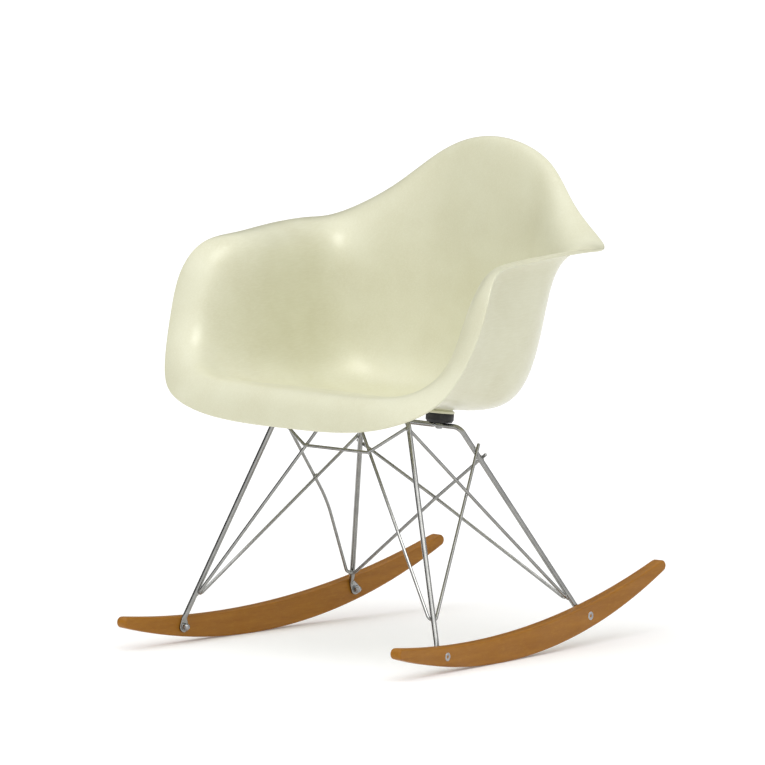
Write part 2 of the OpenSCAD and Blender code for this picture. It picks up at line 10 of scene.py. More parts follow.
# %% Load the frame
import math
import bpy
import numpy as np
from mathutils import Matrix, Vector


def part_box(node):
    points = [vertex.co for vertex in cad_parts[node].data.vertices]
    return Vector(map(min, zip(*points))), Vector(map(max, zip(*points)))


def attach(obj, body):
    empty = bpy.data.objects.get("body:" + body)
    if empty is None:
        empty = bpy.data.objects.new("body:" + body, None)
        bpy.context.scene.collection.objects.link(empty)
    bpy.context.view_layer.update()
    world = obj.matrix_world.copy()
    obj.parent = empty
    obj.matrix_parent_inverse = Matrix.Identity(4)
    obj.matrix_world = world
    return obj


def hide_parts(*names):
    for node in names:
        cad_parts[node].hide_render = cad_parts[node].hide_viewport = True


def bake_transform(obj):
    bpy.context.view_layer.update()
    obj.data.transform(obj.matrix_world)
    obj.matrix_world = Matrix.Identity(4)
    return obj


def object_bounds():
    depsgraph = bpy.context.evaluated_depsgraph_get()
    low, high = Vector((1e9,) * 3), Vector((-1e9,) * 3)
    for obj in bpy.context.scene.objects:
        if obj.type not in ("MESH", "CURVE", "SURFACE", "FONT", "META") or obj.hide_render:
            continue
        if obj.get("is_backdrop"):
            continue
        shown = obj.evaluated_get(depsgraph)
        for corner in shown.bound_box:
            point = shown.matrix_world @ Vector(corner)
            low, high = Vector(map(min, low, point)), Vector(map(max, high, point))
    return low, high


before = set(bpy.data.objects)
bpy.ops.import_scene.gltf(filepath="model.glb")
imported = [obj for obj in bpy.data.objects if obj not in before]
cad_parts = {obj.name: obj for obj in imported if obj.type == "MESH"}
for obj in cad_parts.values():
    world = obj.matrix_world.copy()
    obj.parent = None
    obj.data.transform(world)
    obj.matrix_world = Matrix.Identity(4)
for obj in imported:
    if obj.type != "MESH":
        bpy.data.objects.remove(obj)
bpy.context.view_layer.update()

# %% [markdown]
# ## The camera
#
# A chair like this is shown in three-quarter view from seat height. A camera far away with
# a long lens keeps the legs parallel, and an orthographic camera is the limit of that, so
# it is used here: the picture's width is a plain length in metres.

# %% Camera
AZIMUTH, ELEVATION = math.radians(39.8), math.radians(8.0)
AIM = Vector((0.01345, 0.01227, 0.4063))
VIEW_WIDTH = 1.1608
CAMERA_DISTANCE = 4.0

to_camera = Vector((math.sin(AZIMUTH) * math.cos(ELEVATION),
                    -math.cos(AZIMUTH) * math.cos(ELEVATION), math.sin(ELEVATION)))
camera_data = bpy.data.cameras.new("camera")
camera_data.type = "ORTHO"
camera_data.ortho_scale = VIEW_WIDTH
camera = bpy.data.objects.new("camera", camera_data)
camera.location = AIM + to_camera * CAMERA_DISTANCE
camera.rotation_euler = (-to_camera).to_track_quat("-Z", "Y").to_euler()
camera_data.clip_end = 100
bpy.context.collection.objects.link(camera)
bpy.context.scene.camera = camera
print("camera at", [round(v, 3) for v in camera.location])

# %% [markdown]
# ## From numbers to meshes
#
# Every surface is worked out in millimetres, as a solid of three arrays: points, four-sided
# faces and three-sided faces. One helper turns such solids into a Blender object. It looks
# at the sign of each solid's volume to see whether its faces point outwards, and turns them
# if they don't, which is safer than working out the winding by hand each time.

# %% Solids and pieces
MM = 0.001


def unit(v):
    """A vector, or each row of an array, divided by its length."""
    v = np.asarray(v, float)
    return v / np.linalg.norm(v, axis=-1, keepdims=True)


def across(v, n):
    """What is left of v after its share along the unit vector n is taken out, at length 1."""
    return unit(v - np.sum(v * n, -1, keepdims=True) * n)


def flip_x(p, side=-1):
    """The same point on the other side of the mid-plane, or itself where side is 1."""
    return np.asarray(p, float) * np.array([side, 1, 1])


def faces_outward(points, quads, tris):
    """Six times a solid's volume is the sum over its triangles of a . (b x c); where that is
    negative, every face is turned round."""
    three = np.concatenate([quads[:, [0, 1, 2]], quads[:, [0, 2, 3]], tris])
    a, b, c = (points[three[:, k]] for k in range(3))
    if np.sum(a * np.cross(b, c)) < 0:
        return points, quads[:, ::-1], tris[:, ::-1]
    return points, quads, tris


def piece(name, solids, body, replaces=(), sharp=40):
    """One Blender object from one or more solids, riding on a body."""
    points, quads, tris, start = [], [], [], 0
    for solid in solids:
        p, q, t = faces_outward(*solid)
        points.append(p)
        quads.append(q + start)
        tris.append(t + start)
        start += len(p)
    mesh = bpy.data.meshes.new(name)
    mesh.from_pydata((np.concatenate(points) * MM).tolist(), [],
                     np.concatenate(quads).tolist() + np.concatenate(tris).tolist())
    mesh.polygons.foreach_set("use_smooth", [True] * len(mesh.polygons))
    mesh.set_sharp_from_angle(angle=math.radians(sharp))
    mesh.update()
    thing = bpy.data.objects.new(name, mesh)
    bpy.context.collection.objects.link(thing)
    if body:
        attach(thing, body)
    if replaces:
        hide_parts(*replaces)
    print(f"{name}: {len(mesh.vertices)} points, {len(mesh.polygons)} faces")
    return thing


def tube_faces(rings, sides):
    """Faces of a tube of rings, closed at both ends on two last points: a fan at each end."""
    i, k = np.arange(rings - 1)[:, None] * sides, np.arange(sides)[None, :]
    k2 = (k + 1) % sides
    quads = np.stack([i + k, i + k2, i + sides + k2, i + sides + k], -1).reshape(-1, 4)
    k, k2, end = k[0], k2[0], (rings - 1) * sides
    first = np.stack([k2, k, np.full(sides, rings * sides)], -1)
    last = np.stack([end + k, end + k2, np.full(sides, rings * sides + 1)], -1)
    return quads, np.concatenate([first, last])


def tube(rings):
    """A closed solid from an array of rings (n x sides x 3), with a point in each end."""
    n, sides = rings.shape[:2]
    ends = np.stack([rings[0].mean(0), rings[-1].mean(0)])
    quads, tris = tube_faces(n, sides)
    return np.concatenate([rings.reshape(-1, 3), ends]), quads, tris


print("unit test:", unit([3, 0, 4]))

# %% [markdown]
# ## Shared effects
#
# Three effects return on several finishes. A handling film makes gloss uneven, as fingers
# and polish do. Streaks are long marks along one direction: grain in wood, strands in glass
# fibre. Fine relief is the small unevenness that breaks up a reflection. Each is one node
# group with named inputs, placed in a material with that material's own values, so that a
# change in the group reaches every finish.

# %% Node groups
def new_group(name, inputs, output):
    """An empty shader node group with its inputs, one output, and its two end nodes."""
    group = bpy.data.node_groups.new(name, "ShaderNodeTree")
    for label, value in inputs:
        kind = "NodeSocketVector" if value is None else "NodeSocketFloat"
        socket = group.interface.new_socket(label, in_out="INPUT", socket_type=kind)
        if value is not None:
            socket.default_value = value
    group.interface.new_socket(output, in_out="OUTPUT", socket_type="NodeSocketFloat")
    return group, group.nodes.new("NodeGroupInput"), group.nodes.new("NodeGroupOutput")


def noise(tree, vector, scale, detail, roughness=0.5):
    """A noise texture; scale is a number or a socket."""
    node = tree.nodes.new("ShaderNodeTexNoise")
    tree.links.new(vector, node.inputs["Vector"])
    if isinstance(scale, (int, float)):
        node.inputs["Scale"].default_value = scale
    else:
        tree.links.new(scale, node.inputs["Scale"])
    node.inputs["Detail"].default_value = detail
    node.inputs["Roughness"].default_value = roughness
    return node.outputs["Factor"] if "Factor" in node.outputs else node.outputs[0]


def map_range(tree, value, low, high, to_low=0.0, to_high=1.0):
    """Stretches low..high over to_low..to_high; each of the four is a number or a socket."""
    node = tree.nodes.new("ShaderNodeMapRange")
    tree.links.new(value, node.inputs["Value"])
    for label, v in (("From Min", low), ("From Max", high), ("To Min", to_low), ("To Max", to_high)):
        if isinstance(v, (int, float)):
            node.inputs[label].default_value = v
        else:
            tree.links.new(v, node.inputs[label])
    return node.outputs["Result"]


def math_node(tree, operation, a, b):
    """One step of arithmetic on two values, each a number or a socket."""
    node = tree.nodes.new("ShaderNodeMath")
    node.operation = operation
    for socket, v in zip(node.inputs, (a, b)):
        if isinstance(v, (int, float)):
            socket.default_value = v
        else:
            tree.links.new(v, socket)
    return node.outputs[0]


film, g_in, g_out = new_group("handling film", [("Vector", None), ("Size", 8.0),
                              ("Polished", 0.1), ("Dull", 0.2)], "Roughness")
cloud = noise(film, g_in.outputs["Vector"], g_in.outputs["Size"], 5, 0.55)
film.links.new(map_range(film, cloud, 0.35, 0.68, g_in.outputs["Polished"], g_in.outputs["Dull"]),
               g_out.inputs["Roughness"])

relief, g_in, g_out = new_group("fine relief", [("Vector", None), ("Size", 200.0),
                                ("Broad Size", 20.0), ("Broad Share", 0.5)], "Height")
fine = noise(relief, g_in.outputs["Vector"], g_in.outputs["Size"], 3)
broad = noise(relief, g_in.outputs["Vector"], g_in.outputs["Broad Size"], 2)
height = math_node(relief, "ADD", fine, math_node(relief, "MULTIPLY", broad, g_in.outputs["Broad Share"]))
relief.links.new(height, g_out.inputs["Height"])

streaks, g_in, g_out = new_group("streaks", [("Vector", None), ("Size", 300.0),
                                 ("Low", 0.45), ("High", 0.65)], "Mask")
lines = noise(streaks, g_in.outputs["Vector"], g_in.outputs["Size"], 4, 0.6)
streaks.links.new(map_range(streaks, lines, g_in.outputs["Low"], g_in.outputs["High"]),
                  g_out.inputs["Mask"])
print("groups:", [g.name for g in bpy.data.node_groups])

# %% [markdown]
# ## Materials
#
# A small starter makes each material: the Principled shader, Object coordinates and a Bump
# node. Object coordinates are metres on the chair, so a pattern has its true size on every
# piece and doesn't stretch where a surface curves.

# %% Material starter
def srgb(r, g, b):
    """A colour given as 0 to 255 screen values, turned into the linear values that nodes use."""
    c = np.array([r, g, b]) / 255
    lin = np.where(c <= 0.04045, c / 12.92, ((c + 0.055) / 1.055) ** 2.4)
    return (*lin.tolist(), 1.0)


class Finish:
    """A material being built: its tree, its shader and its Object coordinates."""

    def __init__(self, name, **shader_values):
        self.material = bpy.data.materials.new(name)
        self.material.use_nodes = True
        self.tree = self.material.node_tree
        self.shader = self.tree.nodes["Principled BSDF"]
        self.at = self.tree.nodes.new("ShaderNodeTexCoord").outputs["Object"]
        for label, value in shader_values.items():
            self.shader.inputs[label.replace("_", " ")].default_value = value

    def group(self, group, vector, output, **values):
        """Places a shared group and sets its own values."""
        node = self.tree.nodes.new("ShaderNodeGroup")
        node.node_tree = group
        self.tree.links.new(vector, node.inputs["Vector"])
        for label, value in values.items():
            node.inputs[label.replace("_", " ")].default_value = value
        return node.outputs[output]

    def turned(self, turn=(0, 0, 0), scale=(1, 1, 1)):
        """Object coordinates, turned by three angles in degrees and stretched."""
        node = self.tree.nodes.new("ShaderNodeMapping")
        node.inputs["Rotation"].default_value = [math.radians(a) for a in turn]
        node.inputs["Scale"].default_value = scale
        self.tree.links.new(self.at, node.inputs["Vector"])
        return node.outputs["Vector"]

    def mix(self, mask, a, b):
        """Colour a where the mask is 0, b where it is 1."""
        node = self.tree.nodes.new("ShaderNodeMix")
        node.data_type = "RGBA"
        self.tree.links.new(mask, node.inputs["Factor"])
        for socket, v in ((node.inputs[6], a), (node.inputs[7], b)):
            if isinstance(v, tuple):
                socket.default_value = v
            else:
                self.tree.links.new(v, socket)
        return node.outputs[2]

    def feed(self, label, socket):
        self.tree.links.new(socket, self.shader.inputs[label])

    def bump(self, height, distance):
        """Height in 0..1 becomes relief of the given distance in metres."""
        node = self.tree.nodes.new("ShaderNodeBump")
        node.inputs["Distance"].default_value = distance
        node.inputs["Strength"].default_value = 1.0
        self.tree.links.new(height, node.inputs["Height"])
        self.feed("Normal", node.outputs["Normal"])


print("shell colour in linear values:", [round(v, 3) for v in srgb(216, 214, 181)])

# %% [markdown]
# ### Glass fibre
#
# The shell is polyester resin over chopped glass. Strands a few centimetres long lie in
# every direction just under the surface and show as a faint mottle. Three sets of streaks,
# turned against each other, give strands without one direction winning. The moulded skin is
# satin with a thin gloss over it, so the shader has a coat.

# %% Glass-fibre finish
fibre = Finish("glass fibre", Coat_Weight=0.4, Coat_Roughness=0.2, IOR=1.5)
strand_masks = [fibre.group(streaks, fibre.turned(turn, (1, 0.12, 1)), "Mask",
                            Size=420.0, Low=0.5, High=0.72)
                for turn in ((15, 20, 10), (70, -25, 75), (-40, 60, 140))]
strands = math_node(fibre.tree, "MAXIMUM", strand_masks[0],
                    math_node(fibre.tree, "MAXIMUM", strand_masks[1], strand_masks[2]))
cloudy = map_range(fibre.tree, noise(fibre.tree, fibre.at, 16, 4), 0.3, 0.7)
base_cream = fibre.mix(cloudy, srgb(214, 213, 186), srgb(208, 206, 177))
fibre.feed("Base Color", fibre.mix(math_node(fibre.tree, "MULTIPLY", strands, 0.28),
                                   base_cream, srgb(227, 227, 207)))
fibre.feed("Roughness", fibre.group(film, fibre.at, "Roughness", Size=9.0, Polished=0.34, Dull=0.46))
fibre.bump(fibre.group(relief, fibre.at, "Height", Size=420.0, Broad_Size=45.0, Broad_Share=2.0), 0.00010)
print("strand sets:", len(strand_masks))

# %% [markdown]
# ### Chrome, steel and rubber
#
# Chrome is almost a mirror: what makes it look real is what it reflects and a slightly
# uneven polish. The fasteners are plain bright steel, a little greyer and duller. The
# rubber is matt black with a moulded skin, dusty where it is least touched.

# %% Metal and rubber finishes
chrome = Finish("chrome", Metallic=1.0)
chrome_haze = map_range(chrome.tree, noise(chrome.tree, chrome.at, 60, 3), 0.3, 0.7)
chrome.feed("Base Color", chrome.mix(chrome_haze, srgb(160, 160, 157), srgb(144, 144, 142)))
chrome.feed("Roughness", chrome.group(film, chrome.at, "Roughness", Size=30.0, Polished=0.16, Dull=0.25))
chrome.bump(chrome.group(relief, chrome.at, "Height", Size=900.0, Broad_Size=120.0, Broad_Share=1.0), 0.00001)

steel = Finish("plated steel", Metallic=1.0)
steel_haze = map_range(steel.tree, noise(steel.tree, steel.at, 150, 4), 0.3, 0.7)
steel.feed("Base Color", steel.mix(steel_haze, srgb(168, 168, 167), srgb(146, 147, 149)))
steel.feed("Roughness", steel.group(film, steel.at, "Roughness", Size=90.0, Polished=0.2, Dull=0.36))
steel.bump(steel.group(relief, steel.at, "Height", Size=1500.0, Broad_Size=300.0, Broad_Share=0.6), 0.00002)

rubber = Finish("moulded rubber", IOR=1.52)
dust = map_range(rubber.tree, noise(rubber.tree, rubber.at, 90, 5), 0.42, 0.7)
rubber.feed("Base Color", rubber.mix(dust, srgb(22, 22, 23), srgb(46, 45, 44)))
rubber.feed("Roughness", rubber.group(film, rubber.at, "Roughness", Size=60.0, Polished=0.5, Dull=0.75))
rubber.bump(rubber.group(relief, rubber.at, "Height", Size=1200.0, Broad_Size=250.0, Broad_Share=0.8),
            0.00006)
print("materials:", [m.name for m in bpy.data.materials])

# %% [markdown]
# ### Maple
#
# The rockers are cut from maple with the grain along the board and a clear honey lacquer.
# Two sizes of streak do the grain: broad soft bands and fine pores. Both are stretched
# twenty times along the board.

# %% Maple finish
maple = Finish("lacquered maple", Coat_Weight=0.1, Coat_Roughness=0.2, Specular_IOR_Level=0.25)
along, grain_turn = (1, 0.045, 1), (4.9, 0, 2.5)
bands = maple.group(streaks, maple.turned(grain_turn, along), "Mask", Size=95.0, Low=0.32, High=0.7)
pores = maple.group(streaks, maple.turned(grain_turn, (1, 0.03, 1)), "Mask",
                    Size=900.0, Low=0.56, High=0.72)
fleck = maple.group(streaks, maple.turned((0, 0, 0), (1, 0.35, 1)), "Mask", Size=210.0, Low=0.5, High=0.78)
wood = maple.mix(bands, srgb(158, 104, 22), srgb(143, 91, 14))
wood = maple.mix(math_node(maple.tree, "MULTIPLY", fleck, 0.35), wood, srgb(174, 122, 36))
maple.feed("Base Color", maple.mix(math_node(maple.tree, "MULTIPLY", pores, 0.4), wood, srgb(126, 76, 13)))
maple.feed("Roughness", maple.group(film, maple.at, "Roughness", Size=12.0, Polished=0.42, Dull=0.55))
maple.bump(maple.group(relief, maple.turned(grain_turn, along), "Height",
                       Size=900.0, Broad_Size=200.0, Broad_Share=1.0), 0.00005)
print("grain stretched", round(1 / along[1]), "times")

# %% [markdown]
# ## The moulded shell
#
# The shell is one skin that runs from the middle of the seat over the floor, up the wall
# and over a flange to the rim. Fourteen stations round one half give, for each, the corner
# where floor turns into wall, the corner of the flange, and the rim. Each station is a
# short clamped spline outwards, and a closed spline joins the stations round the chair. A
# box with a subdivision modifier could give a similar form, but not one that passes through
# measured points, so two splines are used.

# %% Shell measurements
SHELL_WALL = 4.0
SEAT_MIDDLE = np.array([0, 60, 369.0])
SEAT_SLOPE, FLOOR_SHARE, WALL_SHARE = -0.2, 0.62, 0.55
STATIONS = np.array([
    [[0, -118, 410], [0, -199, 414], [0, -208, 361]],            # front lip
    [[118, -116, 408], [125, -194, 416], [130, -206, 365]],
    [[170, -106, 403], [205, -176, 426], [222, -194, 385]],
    [[190, -85, 396], [244, -143, 455], [275, -155, 424]],
    [[196, -62, 390], [260, -112, 505], [298, -113, 498]],       # front of the arm
    [[200, -35, 385], [260, -82, 572], [301, -85, 560]],
    [[201, 0, 380], [244, -34, 606], [288, -48, 600]],
    [[200, 40, 374], [232, 20, 617], [277, 14, 609]],
    [[198, 88, 367], [232, 96, 619], [280, 98, 613]],            # middle of the arm
    [[184, 134, 364], [229, 160, 621], [280, 186, 613]],
    [[156, 180, 366], [202, 202, 630], [259, 238, 617]],
    [[115, 212, 370], [150, 242, 668], [178, 270, 662]],
    [[60, 230, 374], [92, 280, 724], [100, 299, 722]],           # shoulder
    [[0, 236, 376], [0, 287, 752], [0, 302, 749]]], float)       # top of the back


def control_rows(stations):
    """Six control points a station: the middle of the seat, a point on the flat of the
    floor, the floor corner, a point up the wall, the flange corner and the rim."""
    corner, flange, rim = stations.transpose(1, 0, 2)
    middle = np.broadcast_to(SEAT_MIDDLE, corner.shape)
    flat = middle + (corner - middle) * FLOOR_SHARE
    flat[:, 2] = SEAT_MIDDLE[2] + SEAT_SLOPE * (flat[:, 1] - SEAT_MIDDLE[1])
    wall = corner + (flange - corner) * WALL_SHARE
    return np.stack([middle, flat, corner, wall, flange, rim], 1)


half = control_rows(STATIONS)
ring = np.concatenate([half, half[-2:0:-1] * [-1, 1, 1]])
print("stations round the shell:", len(ring))


# %% Splines
def passing(points, rounds=10):
    """Control points, pushed out until the closed spline passes the given points: each
    round adds the gap between a point and the spline there, (before + 4 here + after) / 6."""
    control = points.copy()
    for _ in range(rounds):
        control += points - (np.roll(control, 1, 0) + 4 * control + np.roll(control, -1, 0)) / 6
    return control


def closed_spline(control, u):
    """Uniform cubic B-spline round a closed row. With t the share of the way past a point,
    the four nearest weigh (1-t)^3, 3t^3-6t^2+4, -3t^3+3t^2+3t+1 and t^3, all over 6."""
    i = np.floor(u).astype(int)
    t = (u - i)[:, None]
    w = np.concatenate([(1 - t) ** 3, 3 * t ** 3 - 6 * t ** 2 + 4,
                        -3 * t ** 3 + 3 * t ** 2 + 3 * t + 1, t ** 3], 1) / 6
    return np.einsum("uk,uk...->u...", w, control[(i[:, None] + np.arange(-1, 3)) % len(control)])


def clamped_weights(v):
    """Weights of six points of a cubic B-spline with knots 0 0 0 0 1/3 2/3 1 1 1 1, by the
    Cox-de Boor rule: each degree mixes two neighbours of the degree below."""
    knots = np.array([0, 0, 0, 0, 1 / 3, 2 / 3, 1, 1, 1, 1])
    v = np.minimum(v, 1 - 1e-12)
    w = [((knots[i] <= v) & (v < knots[i + 1])).astype(float) for i in range(9)]
    for d in (1, 2, 3):
        def share(top, span, below):
            return below * top / span if span > 0 else below * 0
        w = [share(v - knots[i], knots[i + d] - knots[i], w[i])
             + share(knots[i + d + 1] - v, knots[i + d + 1] - knots[i + 1], w[i + 1])
             for i in range(9 - d)]
    return np.stack(w, 1)


shell_control = passing(ring)


def shell_at(u, v):
    """The middle of the wall at u round the shell (in stations) and v outwards (0 to 1)."""
    return np.einsum("vk,ukc->uvc", clamped_weights(v), closed_spline(shell_control, u))


print("seat middle:", shell_at(np.array([0.0]), np.array([0.0]))[0, 0])

# %% [markdown]
# The skin gets its wall by moving each point half a wall up and down along the surface's
# own direction, and the rim is rounded by half a circle between the two, as the trimmed and
# sanded edge of the real shell is. Both sides meet in a single point at the seat's middle,
# so the solid is closed.

# %% Shell piece
AROUND, OUTWARDS, RIM = 260, 110, 9


def shell_solid():
    """Outlines from the middle over the upper face, round the rim and back underneath:
    middle surface plus or minus half the wall times the unit normal du x dv."""
    u = np.arange(AROUND) * len(ring) / AROUND
    v = np.linspace(0, 1, OUTWARDS + 1)
    grid = shell_at(u, v)
    du = np.roll(grid, -1, 0) - np.roll(grid, 1, 0)
    dv = np.gradient(grid, axis=1)
    normal = unit(np.cross(dv[:, 1:], du[:, 1:]))
    body = grid[:, 1:]
    half_wall = SHELL_WALL / 2
    tip, n = body[:, -1], normal[:, -1]
    out = across(tip - body[:, -2], n)
    a = np.linspace(0, np.pi, RIM + 2)[1:-1][None, :, None]
    rim = tip[:, None] + half_wall * (n[:, None] * np.cos(a) + out[:, None] * np.sin(a))
    rows = np.concatenate([body + normal * half_wall, rim, (body - normal * half_wall)[:, ::-1]], 1)
    up = unit([0, -SEAT_SLOPE, 1]) * half_wall
    points, quads, tris = tube(rows.transpose(1, 0, 2))
    points[-2:] = [SEAT_MIDDLE + up, SEAT_MIDDLE - up]
    return points, quads, tris


shell = piece("moulded_shell", [shell_solid()], "seat", ["seat_shell"], sharp=70)
shell.data.materials.append(fibre.material)
print("shell box:", [round(v) for v in np.array([v.co for v in shell.data.vertices]).min(0) / MM])

# %% [markdown]
# ## Where the mounts stand
#
# Each mount stands square to the underside of the seat and on the top of its bar. Its plan
# position is chosen, and the point of the shell above it is found by Newton's method: step
# by the gap divided by the surface's slope, and repeat. From there the stack of wall, pad
# and rubber is measured down to the middle of the bar.

# %% Mount places
ROD, BRACE = 8.0, 5.0
RUBBER_D, RUBBER_H, PAD_H, EYE_D = 43.0, 14.0, 6.5, 14.0
EYE_TOP, EYE_LOW = ROD / 2 + 0.3, ROD / 2 - 1
STACK = EYE_TOP + RUBBER_H + PAD_H + SHELL_WALL / 2


def point_over(xy, uv, rounds=12, e=1e-3):
    """The shell's point and upward normal over a plan point, by Newton steps."""
    u, v = uv
    for _ in range(rounds):
        p, pu, pv = (shell_at(np.array([a]), np.array([b]))[0, 0]
                     for a, b in ((u, v), (u + e, v), (u, v + e)))
        du, dv = (pu - p) / e, (pv - p) / e
        step = np.linalg.solve(np.stack([du[:2], dv[:2]], 1), np.array(xy) - p[:2])
        u, v = u + step[0], v + step[1]
    n = unit(np.cross(du, dv))
    return p, n * np.sign(n[2])


def mount_frame(xy, uv):
    """The mount's foot on its bar's centre line, and its axis in the plane of x = constant."""
    p, n = point_over(xy, uv)
    axis = unit([0, n[1], n[2]])
    foot = np.array([xy[0], p[1] - STACK * axis[1], p[2] - STACK * axis[2]])
    return foot, axis


front_foot, front_axis = mount_frame((80, -55), (1, 0.3))
rear_foot, rear_axis = mount_frame((56, 99), (9.6, 0.12))
MOUNTS = {f"{place}_{hand}": (flip_x(foot, side), axis)
          for place, foot, axis in (("front", front_foot, front_axis), ("rear", rear_foot, rear_axis))
          for hand, side in (("left", 1), ("right", -1))}
for name, (foot, axis) in MOUNTS.items():
    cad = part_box(f"{name}_shock_mount")
    print(name, foot.round(2), axis.round(3), "CAD middle", [round(v / MM, 1) for v in (cad[0] + cad[1]) / 2])

# %% [markdown]
# ## Turned pieces
#
# Rubber discs, pads, screws, bolts and nuts are all turned: a profile of radius against
# height, carried round an axis. A third number in each row says how far the circle has
# become a hexagon, so the same function makes a nut or the socket in a bolt's head.

# %% Turning
def turned(rows, centre, axis, sides=60):
    """Rings of radius r at height h along an axis. Where the hexagon share is k, the radius
    at angle a is r times (1 - k + k / cos(a folded into plus or minus 30 degrees))."""
    rows = np.array([tuple(r) + (0,) * (3 - len(r)) for r in rows], float)
    r, h, k = rows.T[:, :, None]
    a = np.arange(sides) * 2 * np.pi / sides
    fold = np.mod(a + np.pi / 6, np.pi / 3) - np.pi / 6
    radius = r * (1 - k + k / np.cos(fold))
    axis = unit(axis)
    x = across(np.array([0.0, 1.0, 0.0]) if abs(axis[1]) < 0.9 else np.array([1.0, 0, 0]), axis)
    y = np.cross(axis, x)
    rings = (centre + radius[..., None] * (np.cos(a)[:, None] * x + np.sin(a)[:, None] * y)
             + h[..., None] * axis)
    return tube(rings)


def rounded(r, h, edge, steps=5, start=0.0):
    """Profile rows round one outer edge: from (r - edge, h) to (r, h - edge), a quarter
    circle; a negative edge height turns it to the lower side."""
    a = np.linspace(0, np.pi / 2, steps)
    size = abs(edge)
    return [(r - size + size * math.sin(t), h - edge + edge * math.cos(t), start) for t in a]


print("rows round an edge:", len(rounded(20, 10, 2)))

# %% [markdown]
# ## Rubber mounts and pads
#
# A shock mount is a rubber disc moulded round a steel bush. Its lower edge is chamfered and
# its upper edge barely rounded. Above it is the bonding pad of the shell's own resin, a
# disc with a narrower neck. The rubber is what lets the seat tip; each disc here stands on
# its own and rides on neither body.

# %% Rubber and pads
for name, (foot, axis) in MOUNTS.items():
    r, low, top = RUBBER_D / 2, EYE_TOP, EYE_TOP + RUBBER_H
    rows = ([(0.5, low), (r - 4.4, low)] + rounded(r - 1.6, low, -2.0) +
            [(r, low + 3.6), (r, low + 7.0), (r, top - 1.2)] + rounded(r, top, 0.9)[::-1] + [(0.5, top)])
    disc = piece(f"{name}_rubber", [turned(rows, foot, axis, 72)], None,
                 [f"{name}_shock_mount"])
    disc.data.materials.append(rubber.material)
    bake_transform(disc)
    neck, r, pad_top = top + 4.0, RUBBER_D / 2 + 0.5, top + PAD_H + 0.4
    rows = ([(0.5, top)] + rounded(r, top, -0.5) + rounded(r, neck, 1.0)[::-1] +
            [(r - 2.2, neck), (r - 2.8, neck + 0.4), (r - 3.0, neck + 1.0), (r - 3.0, pad_top),
             (0.5, pad_top)])
    pad = piece(f"{name}_bonding_pad", [turned(rows, foot, axis, 72)], "seat", [f"{name}_pad"])
    pad.data.materials.append(fibre.material)

# %% [markdown]
# ## Rods along a path
#
# The base is bent from rod. A rod is a ring carried along a centre line that is straight
# between corners and follows a true arc round each one. Its section can change on the way:
# width, height and squareness are arrays along the line, which is how a leg is pressed flat
# at its foot and under each mount without a seam.

# %% Bending and carrying
def bent_line(corners, radii, steps=16):
    """Straight runs joined by arcs. At corner q between unit directions a and b, the arc
    starts r * tan(angle / 2) before q and its centre lies r / cos(angle / 2) from q."""
    points, ways = [corners[0]], [unit(corners[1] - corners[0])]
    for p, q, s, r in zip(corners, corners[1:], corners[2:], radii[1:]):
        a, b = unit(q - p), unit(s - q)
        angle = math.acos(float(a @ b))
        centre = q + unit(b - a) * r / math.cos(angle / 2)
        x = unit(q - a * r * math.tan(angle / 2) - centre)
        t = np.linspace(0, angle, steps)[:, None]
        points.extend(centre + r * (x * np.cos(t) + a * np.sin(t)))
        ways.extend(a * np.cos(t) - x * np.sin(t))
    points.append(corners[-1])
    ways.append(unit(corners[-1] - corners[-2]))
    return np.array(points), np.array(ways)


def lengths(line):
    """Distance along a line at each of its points."""
    return np.concatenate([[0], np.cumsum(np.linalg.norm(np.diff(line, axis=0), axis=1))])


def resampled(line, ways, stations):
    """The line and its directions at these distances, by straight interpolation."""
    s = lengths(line)
    pick = lambda rows: np.stack([np.interp(stations, s, c) for c in rows.T], 1)
    return pick(line), unit(pick(ways))


def carried(line, ways, wide, width, up, low, square, sides=28):
    """Rings along a line: x = width |cos|^(2/square), y = up or low times |sin|^(2/square),
    with their signs, x along `wide` made square to the line and y along way x wide."""
    x = across(np.broadcast_to(wide, line.shape), ways)
    y = np.cross(ways, x)
    a = np.arange(sides) * 2 * np.pi / sides
    power = (2 / np.broadcast_to(square, len(line)))[:, None]
    c = np.sign(np.cos(a)) * np.abs(np.cos(a)) ** power * np.broadcast_to(width, len(line))[:, None]
    s = np.abs(np.sin(a)) ** power
    s = np.where(np.sin(a) > 0, s * np.broadcast_to(up, len(line))[:, None],
                 -s * np.broadcast_to(low, len(line))[:, None])
    return tube(line[:, None] + x[:, None] * c[..., None] + y[:, None] * s[..., None])


def round_rod(corners, radii, d, wide, sides=22):
    """A plain bent rod with lightly chamfered ends."""
    line, ways = bent_line([np.asarray(c, float) for c in corners], radii)
    s = lengths(line)
    stations = np.union1d(s, [0.5, s[-1] - 0.5])
    line, ways = resampled(line, ways, stations)
    r = np.full(len(line), d / 2)
    r[[0, -1]] -= 0.45
    return carried(line, ways, wide, r, r, r, 2.0, sides)


def ease(x, low, high):
    """0 below low, 1 above high, and the smooth 3t^2 - 2t^3 between."""
    t = np.clip((x - low) / (high - low), 0, 1)
    return t * t * (3 - 2 * t)


elbow = [np.zeros(3), np.array([10.0, 0, 0]), np.array([10.0, 10, 0])]
print("bend test:", len(bent_line(elbow, [0, 3, 0])[0]))

# %% [markdown]
# ## Where the rockers are
#
# A rocker lies on the floor, turned in towards the rear and tipped up behind. Working in the
# board's own numbers is easier: s along it, h above its lowest point, w inwards from its
# outer face. One function turns those into places on the chair, and the feet of the legs
# use the same function, so they always meet the wood.

